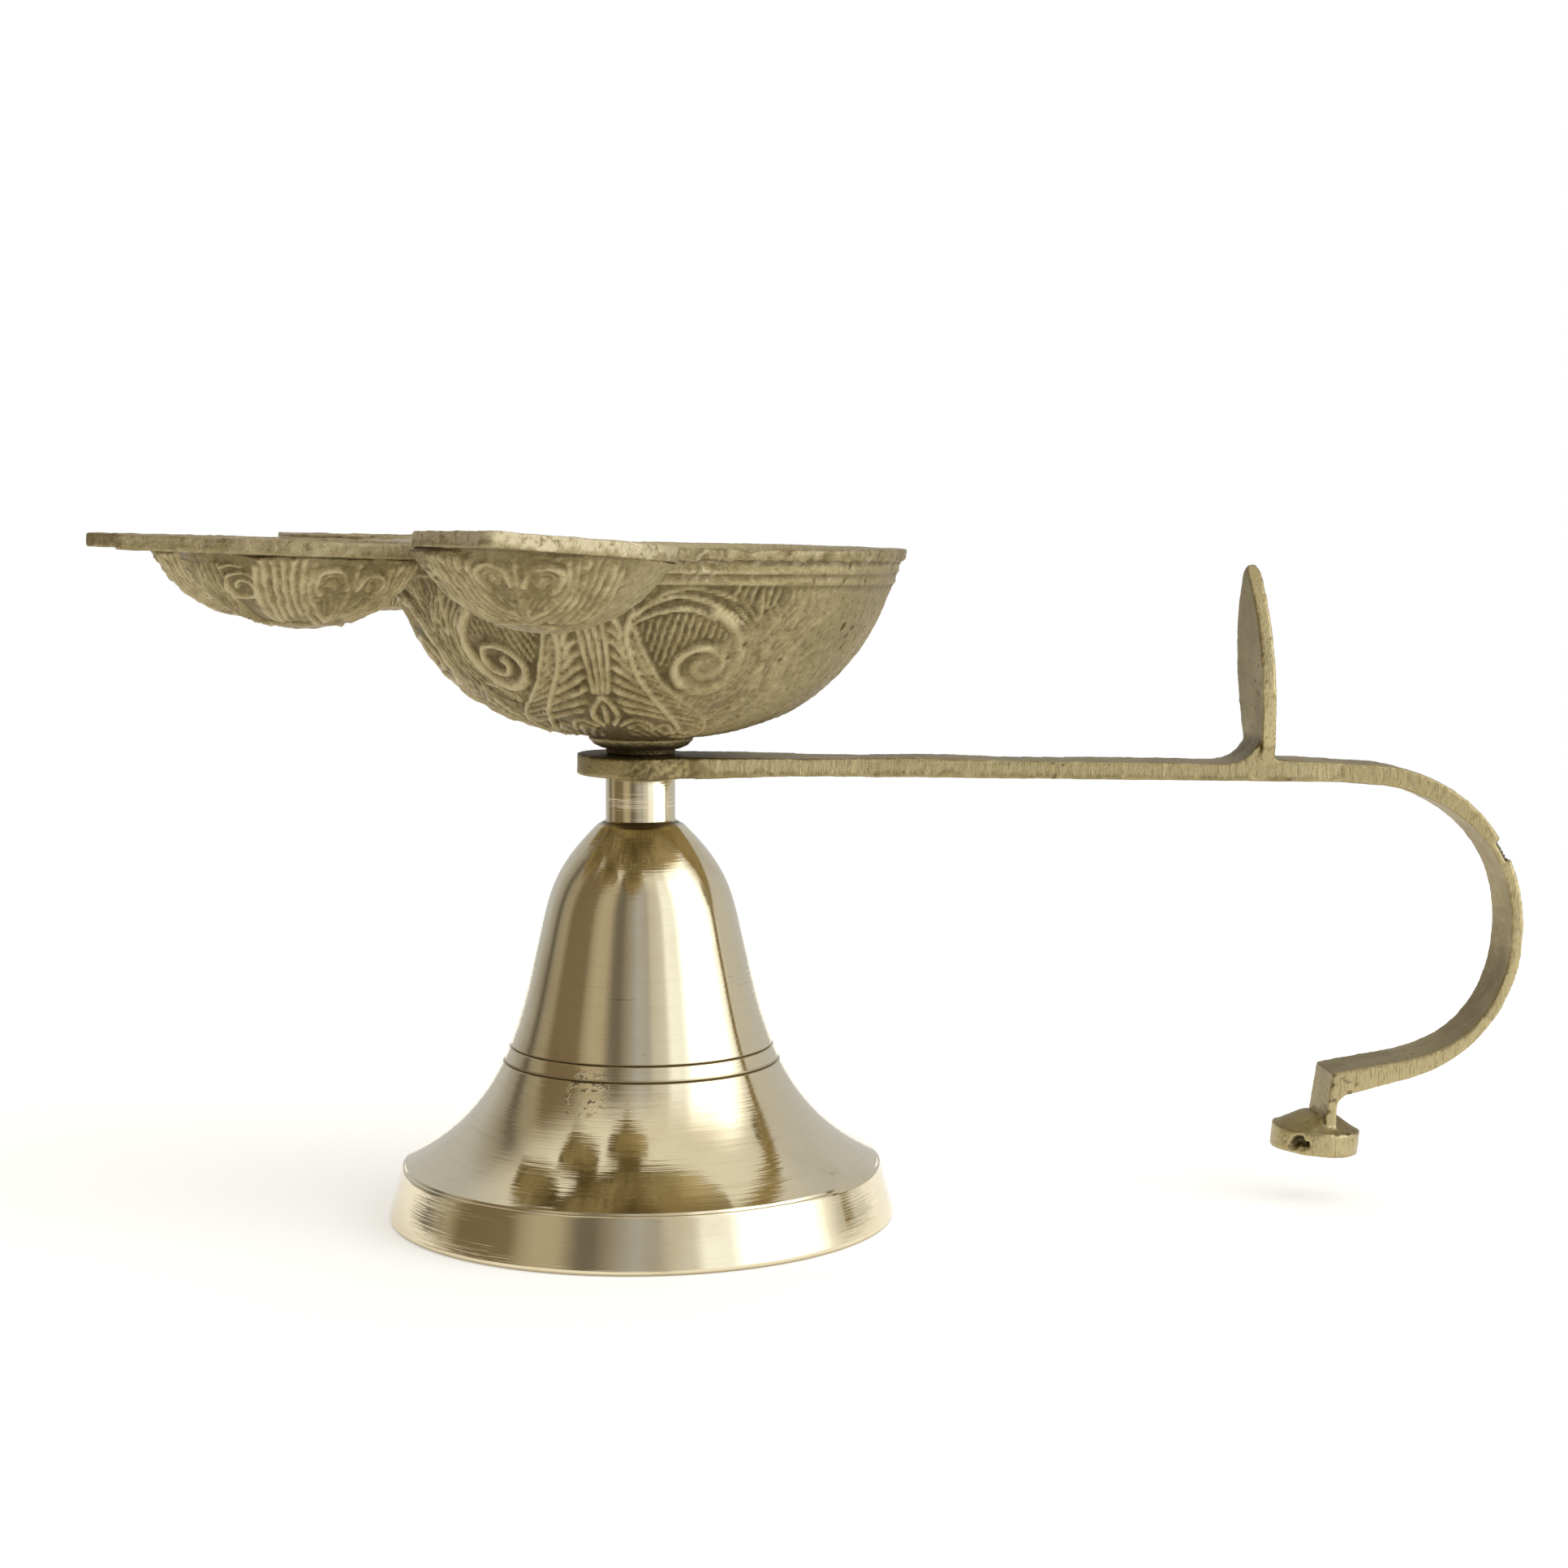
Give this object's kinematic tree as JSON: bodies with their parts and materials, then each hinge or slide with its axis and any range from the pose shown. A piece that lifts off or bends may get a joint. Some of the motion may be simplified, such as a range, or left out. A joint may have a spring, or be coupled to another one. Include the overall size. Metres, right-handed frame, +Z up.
{
  "type": "diya oil lamp",
  "caption": "Hand-held brass oil lamp: bell-shaped foot, strap handle with finger loop and thumb rest, round oil bowl and a fan of pointed wick cups.",
  "frame": {"origin": "centre of the bell foot's rest ring, on the plane it stands on", "axes": "+X towards the handle, +Z up from the table, +Y away from the viewer who has the handle on the right"},
  "size_m": [0.2014, 0.1525, 0.0956],
  "materials": {
    "turned_brass": "polished, lathe turned",
    "cast_brass": "matte sand cast with raised ornament",
    "filed_brass": "matte cast, filed on its edges",
    "fastener_brass": "dull turned"
  },
  "bodies": {
    "base": {"bell_base": "turned_brass", "lock_washer": "fastener_brass", "lock_nut": "fastener_brass"},
    "handle": {"handle": "filed_brass"},
    "stud": {"stud": "fastener_brass"},
    "head": {"oil_bowl": "cast_brass", "wick_cup_1": "cast_brass", "wick_cup_2": "cast_brass", "wick_cup_3": "cast_brass", "wick_cup_4": "cast_brass", "wick_cup_5": "cast_brass"}
  },
  "joints": [
    {"name": "handle_swivel", "type": "hinge", "parent": "base", "child": "handle", "pos_m": [0, 0, 0.0614], "axis": [0.0192, 0, 0.9998], "continuous": true},
    {"name": "bowl_unscrew", "type": "hinge", "parent": "base", "child": "stud", "pos_m": [0, 0, 0.0614], "axis": [0.0192, 0, 0.9998], "range_deg": [0, 1440]},
    {"name": "bowl_lift", "type": "slide", "parent": "stud", "child": "head", "axis": [0.0192, 0, 0.9998], "range_m": [0, 0.0033]}
  ],
  "couplings": [
    {"joint": "bowl_lift", "follows": "bowl_unscrew", "m_per_rad": 0.00012732}
  ]
}
